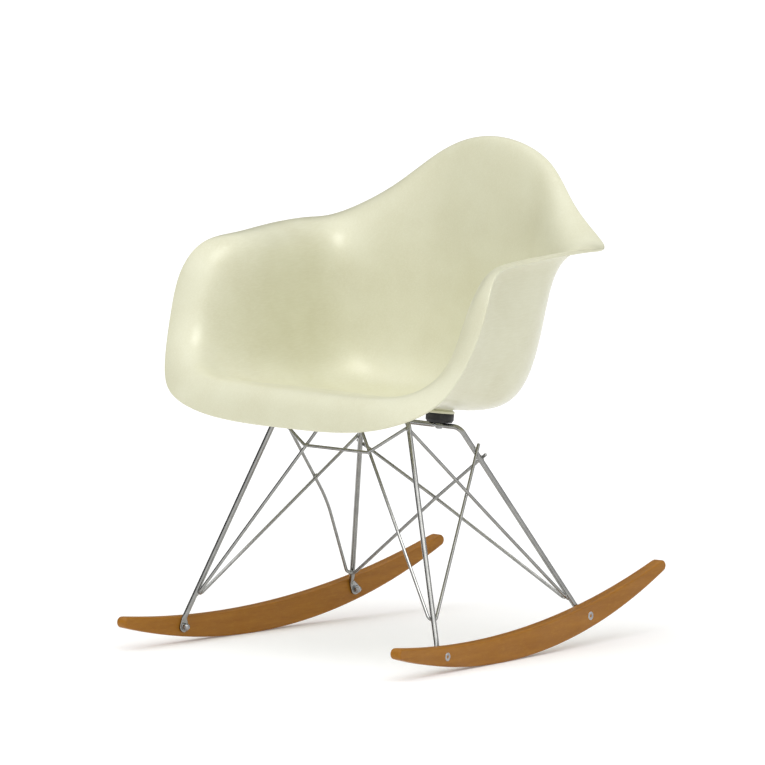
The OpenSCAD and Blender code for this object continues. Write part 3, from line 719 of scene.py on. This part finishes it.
# %% Rocker coordinates
ROCKER_L, ROCKER_H, ROCKER_T, ROCKER_R, ROCKER_TOP_R = 700.0, 41.5, 19.0, 1015.0, 1650.0
ROCKER_X, NOSE_DEPTH = 260.0, 9.0
TOE_IN, REST_TILT = math.radians(4.3), math.radians(4.9)
BOLTS_S = {"front": -226.0, "rear": 148.0}
FOOT_T, FOOT_D, FOOT_NECK = 4.0, 17.0, 20.0


def rocker_low(s):
    """Height of the rolling arc: R - sqrt(R^2 - s^2)."""
    return ROCKER_R - np.sqrt(ROCKER_R ** 2 - s ** 2)


def rocker_high(s):
    """Height of the top arc, which is flatter."""
    return ROCKER_H + ROCKER_TOP_R - np.sqrt(ROCKER_TOP_R ** 2 - s ** 2)


def rocker_mid(s):
    return (rocker_low(s) + rocker_high(s)) / 2


def on_rocker(s, h, w, side=1):
    """Turned by the tilt about the centre of the rolling arc, then in by the toe angle."""
    s, h, w = np.broadcast_arrays(*(np.asarray(a, float) for a in (s, h, w)))
    y = s * math.cos(REST_TILT) - (h - ROCKER_R) * math.sin(REST_TILT)
    z = s * math.sin(REST_TILT) + (h - ROCKER_R) * math.cos(REST_TILT) + ROCKER_R
    x = ROCKER_X - w * math.cos(TOE_IN) - y * math.sin(TOE_IN)
    return np.stack([side * x, y * math.cos(TOE_IN) - w * math.sin(TOE_IN), z], -1)


print("front bolt:", on_rocker(BOLTS_S["front"], rocker_mid(BOLTS_S["front"]), 0).round(1))

# %% [markdown]
# ## The legs
#
# Each leg frame is one rod of 8 mm: up from one rocker, across under two mounts, and down
# to the other rocker. It is pressed flat where it takes a bolt and where it takes a mount,
# and bent a little above the foot so that the foot lies against the wood.

# %% Leg frames
LEAN = {"front": math.radians(10), "rear": math.radians(-29)}
BAR_HALF = {"front": 249 / 2, "rear": 193 / 2}
LEG_BEND, FOOT_BEND, KNEE = 17.0, 12.0, 13.0
FEET = {"front": front_foot, "rear": rear_foot}
AXES = {"front": front_axis, "rear": rear_axis}


def up_the_foot(place, t, w=ROCKER_T + FOOT_T / 2):
    """A point t mm up the foot from its bolt, at depth w from the rocker's outer face."""
    s, lean = BOLTS_S[place], LEAN[place]
    return on_rocker(s + t * math.sin(lean), rocker_mid(s) + t * math.cos(lean), w)


def leg_solid(place):
    """One sweep from foot tip to foot tip. Round the bolt the width is a circle of 17 mm,
    sqrt(r^2 - t^2), easing to the rod's own; the height eases from half the foot's
    thickness to the rod's radius; under a mount the width follows a circle of 14 mm."""
    r = ROD / 2
    tip, knee = up_the_foot(place, -FOOT_D / 2), up_the_foot(place, KNEE)
    corner = np.array([BAR_HALF[place], *FEET[place][1:]])
    corners = [tip, knee, corner, flip_x(corner), flip_x(knee), flip_x(tip)]
    line, ways = bent_line(corners, [0, FOOT_BEND, LEG_BEND, LEG_BEND, FOOT_BEND, 0])
    total = lengths(line)[-1]
    fine_tip = FOOT_D / 2 * (1 - np.cos(np.linspace(0.05, 1, 14) * np.pi / 2))
    shank = np.linspace(FOOT_D / 2, total - FOOT_D / 2, 560)
    stations = np.unique(np.concatenate([fine_tip, total - fine_tip, shank]))
    line, ways = resampled(line, ways, stations)
    t = np.minimum(stations, total - stations) - FOOT_D / 2
    foot_w = np.where(t < 0, np.sqrt(np.maximum((FOOT_D / 2) ** 2 - np.minimum(t, 0) ** 2, 0.1)),
                      FOOT_D / 2 + (r - FOOT_D / 2) * ease(t, -2, 19))
    foot_w = np.where(t < 0, np.minimum(foot_w, FOOT_D / 2 + (r - FOOT_D / 2) * ease(t, -2, 19)), foot_w)
    foot_h = FOOT_T / 2 + (r - FOOT_T / 2) * ease(t, 10, 26)
    d = np.abs(np.abs(line[:, 0]) - FEET[place][0])
    on_bar = ease(line[:, 2], corner[2] - 8, corner[2] - 3)
    pressed = (1 - ease(d, 6.2, 11)) * on_bar
    eye_w = ((EYE_D / 2) ** 2 - np.minimum(d, EYE_D / 2) ** 2) ** 0.5
    width = np.where(on_bar > 0.5, (r ** 8 + eye_w ** 8) ** (1 / 8), foot_w)
    high, low = foot_h + (EYE_TOP - r) * pressed, foot_h - (r - EYE_LOW) * pressed
    square = 2 + 3.5 * np.maximum(1 - ease(t, 8, 24), pressed)

    foot_way = unit(up_the_foot(place, 1) - up_the_foot(place, 0))
    inward = unit(up_the_foot(place, 0, 20) - up_the_foot(place, 0, 19))
    leg_wide = unit(np.cross(unit(corner - knee), [1, 0, 0]))
    foot_wide = np.cross(inward, foot_way)
    foot_wide = foot_wide * np.sign(foot_wide @ leg_wide)
    bar_wide = np.cross([1.0, 0, 0], AXES[place])
    bar_wide = bar_wide * np.sign(bar_wide @ leg_wide)
    foot_wide = np.where(line[:, :1] > 0, foot_wide, flip_x(foot_wide))
    near_foot = (1 - ease(t, 12, 60))[:, None]
    wide = leg_wide * (1 - near_foot) + foot_wide * near_foot
    wide = wide * (1 - on_bar[:, None]) + bar_wide * on_bar[:, None]
    x = across(wide, ways)
    upward = np.cross(ways, x)
    flip = upward[np.argmax(line[:, 2]), 2] < 0
    high, low = (low, high) if flip else (high, low)
    return carried(line, ways, wide, width, high, low, square, 28)


for place in ("front", "rear"):
    leg = piece(f"{place}_leg", [leg_solid(place)], "base", [f"{place}_leg_rod"], sharp=50)
    leg.data.materials.append(chrome.material)

# %% [markdown]
# ## The braces
#
# Thin rods stop the legs from racking. Each is a V with a rounded foot: the front one's foot
# sits on the front leg, with one arm back to the rear leg and one up under the front bar;
# the rear one's foot sits on the rear leg, and its forward arm bends just past the place
# where it crosses the front one. Where one rod passes another it stands off by its own
# thickness, less a little where the weld has sunk them together, and all of that is worked
# out from the legs. It isn't exact everywhere: the upper end of each front V, and the foot
# and the forward end of each rear V, stop just under a millimetre short of the rod that they
# are welded to. The beads that are added later touch both rods there and bridge the gap.

# %% Brace paths
WELD_SINK, LOOP_R, TAIL = 0.25, 8.0, 10.0
V_FOOT_T, V_TAIL_T, UPPER_HEAD_T = 0.897, 0.13, 0.04
REAR_FOOT_T, REAR_HEAD_T, REAR_FAR_T = 0.95, 0.035, 0.18
CROSS_SHIFT, KINK_PAST, KINK_R, CROSS_R = 3.0, 62.0, 480.0, 200.0
V_TOP_X = 28.0
LEG_GAP, BRACE_GAP = (ROD + BRACE) / 2 - WELD_SINK, BRACE - WELD_SINK
leg_end = {place: on_rocker(BOLTS_S[place] + FOOT_NECK * math.sin(LEAN[place]),
                            rocker_mid(BOLTS_S[place]) + FOOT_NECK * math.cos(LEAN[place]),
                            ROCKER_T + ROD / 2 + 0.5) for place in LEAN}
leg_top = {place: np.array([BAR_HALF[place], *FEET[place][1:]]) for place in LEAN}
leg_way = {place: unit(leg_end[place] - leg_top[place]) for place in LEAN}


def down(place, t):
    """Share t of the way down the left leg."""
    return leg_top[place] + (leg_end[place] - leg_top[place]) * t


def beside(place, t, towards):
    """A brace's place beside that leg, on the side that faces `towards`."""
    return down(place, t) + across(np.array(towards, float), leg_way[place]) * LEG_GAP


def beyond(start, end, more=TAIL):
    """Past the end by `more`, as a brace is left over beyond its weld."""
    return end + unit(end - start) * more


def v_corner(foot, a, b):
    """The sharp corner of a V whose rounded foot touches `foot`: back along the bisector by
    r (1 / cos(half turn) - 1)."""
    da, db = unit(a - foot), unit(b - foot)
    half_turn = (np.pi - math.acos(float(da @ db))) / 2
    return foot - unit(da + db) * LOOP_R * (1 / math.cos(half_turn) - 1)


v_foot, v_tail = beside("front", V_FOOT_T, [-0.9, 0.7, 0]), beside("rear", V_TAIL_T, [1, 0.2, 0])
v_top = np.array([V_TOP_X, leg_top["front"][1] - LEG_GAP * math.sin(math.pi / 4),
                  leg_top["front"][2] - LEG_GAP * math.cos(math.pi / 4)])
front_v = [beyond(v_foot, v_tail), v_corner(v_foot, v_tail, v_top), v_top]

r_foot, r_head = beside("rear", REAR_FOOT_T, [-0.4, -1, 0]), beside("front", REAR_HEAD_T, [-1, 1, 0])
r_far = flip_x(beside("rear", REAR_FAR_T, [0.2, 1, 0]))
turn = lambda a, b: a[1] * b[2] - a[2] * b[1]
front_arm, rear_arm = v_tail - v_foot, r_foot - r_head
meet = v_foot + front_arm * turn(r_head - v_foot, rear_arm) / turn(front_arm, rear_arm)
off = unit(np.cross(rear_arm, front_arm))
off = off * np.sign(off[0])
arm_cross = meet + unit(front_arm) * CROSS_SHIFT + off * BRACE_GAP
kink = beyond(r_head, arm_cross, KINK_PAST)
cross_at = r_foot + (r_far - r_foot) * r_foot[0] / (r_foot[0] - r_far[0])
cross_way = unit(r_far - r_foot)
cross_off = unit(np.cross(cross_way, flip_x(cross_way)))
print("front V:", [p.round() for p in front_v], "crossing:", cross_at.round())

# %% Braces
UPPER_DROP, UPPER_BEND_R = 54.0, 10.0
upper_z = leg_top["front"][2] - UPPER_DROP
v_way = unit(v_foot - v_top)
knee_side = across(np.array([0, -1.0, 0]), v_way)
knee_t = (v_top[2] - upper_z) / (v_top[2] - v_foot[2])
knee = v_top + (v_foot - v_top) * knee_t + knee_side * BRACE_GAP
head = beside("front", UPPER_HEAD_T, [0, -1, 0])


def plane_of(points):
    """The direction square to a flat bend, from its first three corners."""
    return unit(np.cross(points[1] - points[0], points[2] - points[1]))


def rear_v(side):
    """The rear brace's five corners; where two cross on the mid-plane each keeps its side."""
    cross = cross_at + flip_x(cross_off, side) * side * BRACE_GAP / 2
    return [r_head, kink, v_corner(r_foot, kink, r_far), cross, beyond(r_foot, r_far)]


upper = [head, knee, flip_x(knee), flip_x(head)]
rod = round_rod(upper, [0, UPPER_BEND_R, UPPER_BEND_R, 0], BRACE, plane_of(upper))
brace = piece("upper_brace", [rod], "base", ["front_upper_brace"])
brace.data.materials.append(chrome.material)
for hand, side in (("left", 1), ("right", -1)):
    path = [flip_x(p, side) for p in front_v]
    rod = round_rod(path, [0, LOOP_R, 0], BRACE, plane_of(path))
    brace = piece(f"{hand}_front_v", [rod], "base", [f"{hand}_front_brace"])
    brace.data.materials.append(chrome.material)
    path = [flip_x(p, side) for p in rear_v(side)]
    rod = round_rod(path, [0, KINK_R, LOOP_R, CROSS_R, 0], BRACE, plane_of(path[1:]))
    brace = piece(f"{hand}_rear_v", [rod], "base", [f"{hand}_rear_brace"])
    brace.data.materials.append(chrome.material)

# %% [markdown]
# ### Welds
#
# Where a brace meets a leg the two are resistance-welded: the metal flows a little and
# leaves a low fillet along the contact. A small ellipsoid, sunk in the groove between the
# two rods and stretched along them, gives that fillet. It is plated with the rest.

# %% Weld beads
def bead(centre, along, between, size=(5.2, 2.1, 2.5)):
    """An ellipsoid: long way `along` the rods, short way `between` their centres."""
    x = across(np.asarray(along, float), unit(between))
    z = unit(between)
    y = np.cross(z, x)
    lat = np.linspace(-np.pi / 2, np.pi / 2, 13)[1:-1, None]
    lon = np.arange(18)[None, :] * 2 * np.pi / 18
    a, b, c = size
    rings = (centre + (a * np.sin(lat) + 0 * lon)[..., None] * x
             + (b * np.cos(lat) * np.sin(lon))[..., None] * z
             + (c * np.cos(lat) * np.cos(lon))[..., None] * y)
    solid = tube(rings)
    solid[0][-2:] = [centre - a * x, centre + a * x]
    return solid


def leg_weld(place, t, brace_at):
    """The bead between a leg and a brace: its centre is the leg's surface under the brace."""
    between = unit(brace_at - down(place, t))
    return down(place, t) + between * ROD / 2, leg_way[place], between


joints = [leg_weld("front", V_FOOT_T, v_foot), leg_weld("rear", V_TAIL_T, v_tail),
          leg_weld("rear", REAR_FOOT_T, r_foot), leg_weld("front", REAR_HEAD_T, r_head),
          leg_weld("front", UPPER_HEAD_T, head), (arm_cross - off * BRACE_GAP / 2, front_arm, off)]
bar_under = np.array([V_TOP_X, *leg_top["front"][1:]])
joints.append((bar_under + unit(v_top - bar_under) * ROD / 2, [1, 0, 0], unit(v_top - bar_under)))
joints.append((knee - knee_side * BRACE_GAP / 2, v_way, knee_side))
joints.append(leg_weld("rear", REAR_FAR_T, flip_x(r_far)))
beads = [bead(flip_x(c, s), flip_x(a, s), flip_x(b, s)) for c, a, b in joints for s in (1, -1)]
beads.append(bead(cross_at, [1, 0, 0], cross_off, (4.5, 2.0, 2.2)))
welds = piece("weld_beads", beads, "base")
welds.data.materials.append(chrome.material)

# %% [markdown]
# ## The rockers
#
# A rocker is a flat board between two arcs, with round noses and all its long edges eased
# with a router. Its outline is a closed loop; moving that loop inwards while it travels
# through the thickness gives the rounded edge, and the flat faces are laced between the
# lower and the upper half of the loop. A bevel modifier on an extruded outline would do
# nearly the same, but it leaves uneven corners where the noses begin.

# %% Rocker boards
EDGE = 3.0


def rocker_loop(n_arc=120, n_nose=14):
    """The lower half of the outline from rear tip to front tip and its upper partner, as
    (s, h): two arcs joined by noses that are half circles."""
    nose_s = ROCKER_L / 2 - NOSE_DEPTH
    nose_r = (rocker_high(nose_s) - rocker_low(nose_s)) / 2 * math.cos(math.asin(nose_s / ROCKER_R))
    middle = np.array([nose_s, rocker_mid(nose_s)])
    start_low = -np.pi / 2 + math.asin(nose_s / ROCKER_R)
    start_high = np.pi / 2 + math.asin(nose_s / ROCKER_TOP_R)
    face = (start_low + start_high) / 2
    s = np.linspace(-nose_s, nose_s, n_arc + 1)[1:-1]

    def half(start, arc):
        a = np.linspace(start, face, n_nose)[:, None]
        nose = middle + nose_r * np.concatenate([np.cos(a), np.sin(a)], 1)
        return np.concatenate([nose[::-1] * [-1, 1], np.stack([s, arc(s)], 1), nose])
    return half(start_low, rocker_low), half(start_high, rocker_high)


def rocker_solid(side):
    """Loop point plus inward normal times inset, at depth w; round an edge of radius e the
    inset is e (1 - sin a) and the depth e (1 - cos a) for a from 0 to 90 degrees."""
    low, high = rocker_loop()
    n = len(low) - 1
    loop = np.concatenate([low, high[-2:0:-1]])
    tangent = unit(np.roll(loop, -1, 0) - np.roll(loop, 1, 0))
    inward = np.stack([-tangent[:, 1], tangent[:, 0]], 1)
    a = np.linspace(0, np.pi / 2, 7)
    inset = EDGE * (1 - np.sin(a))
    depth = EDGE * (1 - np.cos(a))
    inset = np.concatenate([[EDGE + 0.7], inset, inset[::-1], [EDGE + 0.7]])
    depth = np.concatenate([[0], depth, ROCKER_T - depth[::-1], [ROCKER_T]])
    flat = loop[:, None] + inward[:, None] * inset[None, :, None]
    points = on_rocker(flat[..., 0], flat[..., 1], np.broadcast_to(depth, flat.shape[:2]), side)
    count, rows = points.shape[:2]
    i, q = np.arange(count)[:, None], np.arange(rows - 1)[None, :]
    i2 = (i + 1) % count
    band = np.stack([i * rows + q, i2 * rows + q, i2 * rows + q + 1, i * rows + q + 1], -1).reshape(-1, 4)
    k = np.arange(1, n - 1)
    lace = np.stack([k + 1, k, count - k, count - k - 1], 1) * rows
    ends = np.array([[1, 0, count - 1], [n, n - 1, n + 1]]) * rows
    quads = np.concatenate([band, lace, lace[:, ::-1] + rows - 1])
    return points.reshape(-1, 3), quads, np.concatenate([ends, ends[:, ::-1] + rows - 1])


for hand, side in (("left", 1), ("right", -1)):
    board = piece(f"{hand}_rocker_board", [rocker_solid(side)], "base", [f"{hand}_rocker"], sharp=50)
    board.data.materials.append(maple.material)

# %% [markdown]
# ## Fasteners
#
# A bolt with a flat socket head lies flush in the outer face of each rocker, and a washer
# and a dome nut hold the foot on the inner face. Under each mount a domed screw comes up
# through the flattened bar. All are turned profiles with a small chamfer on every edge, for
# an edge without one catches no light.

# %% Rocker fasteners
BOLT_D, BOLT_HEAD_D, NUT_AF = 6.0, 13.5, 10.0
WASHER_R, WASHER_T, WASHER_EDGE = 6.0, 1.0, 0.2
SOCKET, SOCKET_H, CHAMFER = 4.6, 2.2, 0.4
bolts, washers, nuts = [], [], []
for side in (1, -1):
    for place, s in BOLTS_S.items():
        face = on_rocker(s, rocker_mid(s), 0, side)
        inward = unit(on_rocker(s, rocker_mid(s), 1, side) - face)
        r = BOLT_HEAD_D / 2
        bolts.append(turned([(0.2, SOCKET_H, 1), (SOCKET / 2, SOCKET_H, 1), (SOCKET / 2, 0.25, 1),
                             (SOCKET / 2 + 0.3, -0.15, 1), (r - CHAMFER, -0.2), (r, 0.2), (r, 3.0),
                             (BOLT_D / 2, 3.2), (BOLT_D / 2, 29.0), (BOLT_D / 2 - 0.6, 29.8), (0.2, 29.8)],
                            face, inward, 72))
        top = ROCKER_T + FOOT_T
        nut, dome = top + WASHER_T, NUT_AF * 0.45
        ring = [(BOLT_D / 2, top), (WASHER_R - WASHER_EDGE, top), (WASHER_R, top + WASHER_EDGE),
                (WASHER_R, nut - WASHER_EDGE), (WASHER_R - WASHER_EDGE, nut), (BOLT_D / 2, nut)]
        washers.append(turned(ring, face, inward, 60))
        arc = [(dome * math.cos(a), nut + 5.0 + dome * 0.75 * math.sin(a), 0)
               for a in np.linspace(0, math.pi / 2 - 0.06, 9)]
        flats = [(0.2, nut), (NUT_AF / 2 - 0.5, nut, 0), (NUT_AF / 2, nut + 0.5, 1),
                 (NUT_AF / 2, nut + 4.3, 1), (NUT_AF / 2 - 0.35, nut + 5.0, 0.35)]
        nuts.append(turned(flats + arc, face, inward, 72))


def fasten(name, solids, node):
    """One piece that holds every copy of a fastener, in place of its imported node."""
    fasteners = piece(name, solids, "base", [node], sharp=30)
    fasteners.data.materials.append(steel.material)


fasten("socket_bolts", bolts, "rocker_bolts")
fasten("foot_washers", washers, "rocker_washers")
fasten("dome_nuts", nuts, "rocker_nuts")

# %% Mount fasteners
SCREW_HEAD_R, SCREW_R, DRIVE_R = 5.5, 2.5, 1.75
HEAD_RISE, HEAD_RIM, SCREW_REACH = 3.0, 0.8, 8.5
BUSH_R, FLANGE_R, FLANGE_T, BUSH_SINK, EDGE = 6.0, 11.0, 2.0, 2.5, 0.2
screws, bushes = [], []
for foot, axis in MOUNTS.values():
    low, tip = -EYE_LOW, EYE_TOP + SCREW_REACH
    arc = [(SCREW_HEAD_R * math.sin(a) ** 0.8, low - HEAD_RIM - (HEAD_RISE - HEAD_RIM) * math.cos(a))
           for a in np.linspace(0.5, math.pi / 2, 8)]
    drive = [(0.2, low - 1.6, 1), (DRIVE_R, low - 1.6, 1), (DRIVE_R, arc[0][1] + 0.1, 1),
             (2.0, arc[0][1] - 0.02, 1)]
    shank = [(SCREW_HEAD_R, low), (SCREW_R, low), (SCREW_R, tip), (0.2, tip)]
    screws.append(turned(drive + arc + shank, foot, axis, 60))
    top = EYE_TOP + RUBBER_H - BUSH_SINK
    flange = top - FLANGE_T
    sleeve = [(0.2, EYE_TOP + 0.1), (BUSH_R - EDGE, EYE_TOP + 0.1), (BUSH_R, EYE_TOP + 0.3),
              (BUSH_R, flange - EDGE), (BUSH_R + 0.4, flange)]
    collar = [(FLANGE_R - EDGE, flange), (FLANGE_R, flange + EDGE), (FLANGE_R, top - EDGE),
              (FLANGE_R - EDGE, top), (0.2, top)]
    bushes.append(turned(sleeve + collar, foot, axis, 48))
fasten("mount_screw_heads", screws, "mount_screws")
fasten("mount_bushes", bushes, "mount_inserts")

# %% [markdown]
# ## Floor and light
#
# A plain pale floor, wide enough to fill every view, under an even studio sky. It is lit a
# little from within, like a light table, which keeps the shadows faint. The light
# comes mostly from above, as from a large soft box. What polished metal mirrors is a second
# sky, dark on one side, because metal only looks like metal when it has something dark to
# reflect. Two soft suns give the shell its form; a sun's light doesn't fall off, so the
# floor stays even out to its edge.

# %% Floor
FLOOR_REACH = 40.0
floor_mesh = bpy.data.meshes.new("floor")
floor_corners = ((-1, -1), (1, -1), (1, 1), (-1, 1))
floor_mesh.from_pydata([(x * FLOOR_REACH, y * FLOOR_REACH, 0) for x, y in floor_corners], [], [(0, 1, 2, 3)])
floor = bpy.data.objects.new("floor", floor_mesh)
bpy.context.collection.objects.link(floor)
paper = Finish("floor paper", Roughness=0.9)
paper.shader.inputs["Specular IOR Level"].default_value = 0.0
paper.shader.inputs["Emission Color"].default_value = (1, 1, 1, 1)
paper.shader.inputs["Emission Strength"].default_value = 0.15
paper_tone = map_range(paper.tree, noise(paper.tree, paper.at, 3, 2), 0.3, 0.7)
paper.feed("Base Color", paper.mix(paper_tone, (0.9, 0.9, 0.9, 1), (0.89, 0.89, 0.89, 1)))
floor.data.materials.append(paper.material)
floor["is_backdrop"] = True
print("floor reaches", FLOOR_REACH, "m")

# %% Sky and suns
world = bpy.data.worlds.new("studio")
world.use_nodes = True
bpy.context.scene.world = world
sky = world.node_tree
way = sky.nodes.new("ShaderNodeTexCoord").outputs["Generated"]
parts = sky.nodes.new("ShaderNodeSeparateXYZ")
sky.links.new(way, parts.inputs[0])


def towards(azimuth, elevation):
    """The direction of a light at this azimuth (as the camera's) and elevation, in degrees."""
    a, e = math.radians(azimuth), math.radians(elevation)
    return Vector((math.sin(a) * math.cos(e), -math.cos(a) * math.cos(e), math.sin(e)))


def facing(azimuth, elevation):
    """How far a direction of the sky faces this one: the cosine between the two."""
    node = sky.nodes.new("ShaderNodeVectorMath")
    node.operation = "DOT_PRODUCT"
    sky.links.new(way, node.inputs[0])
    node.inputs[1].default_value = towards(azimuth, elevation)
    return node.outputs["Value"]


soft = math_node(sky, "MULTIPLY", map_range(sky, parts.outputs["Z"], 0.0, 0.9, 0.3, 0.95),
                 map_range(sky, facing(90, 0), -0.9, 0.6, 0.92, 1.05))
mirrored = math_node(sky, "ADD", map_range(sky, facing(75, 0), -0.35, 0.6, 0.05, 0.95),
                     map_range(sky, parts.outputs["Z"], 0.4, 0.85, 0.0, 1.0))
panel = map_range(sky, facing(75, 55), 0.955, 0.99, 0.0, 5.0)
mirrored = math_node(sky, "ADD", mirrored, panel)
rays = sky.nodes.new("ShaderNodeLightPath")


def choose(share, a, b):
    """a where share is 0, b where it is 1."""
    node = sky.nodes.new("ShaderNodeMix")
    node.data_type = "FLOAT"
    for socket, v in zip(node.inputs[:1] + node.inputs[2:4], (share, a, b)):
        if isinstance(v, (int, float)):
            socket.default_value = v
        else:
            sky.links.new(v, socket)
    return node.outputs[0]


light = choose(rays.outputs["Is Glossy Ray"], soft, mirrored)
sky.links.new(choose(rays.outputs["Is Camera Ray"], light, 1.0), sky.nodes["Background"].inputs["Strength"])
sky.nodes["Background"].inputs["Color"].default_value = (1, 1, 1, 1)


def sun(name, azimuth, elevation, strength, spread):
    """A sun that shines from this azimuth and elevation, spread over an angle in degrees."""
    data = bpy.data.lights.new(name, "SUN")
    data.energy, data.angle = strength, math.radians(spread)
    lamp = bpy.data.objects.new(name, data)
    lamp.rotation_euler = towards(azimuth, elevation).to_track_quat("Z", "Y").to_euler()
    bpy.context.collection.objects.link(lamp)
    return lamp


sun("key", 5, 50, 0.9, 85)
sun("overhead", 70, 72, 0.5, 85)
bpy.context.scene.view_settings.view_transform = "Standard"

# %% [markdown]
# ## Sizes and finish
#
# The box round every shown piece but the floor is worked out. The visual model may not
# outgrow the imported one.

# %% Finish
low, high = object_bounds()
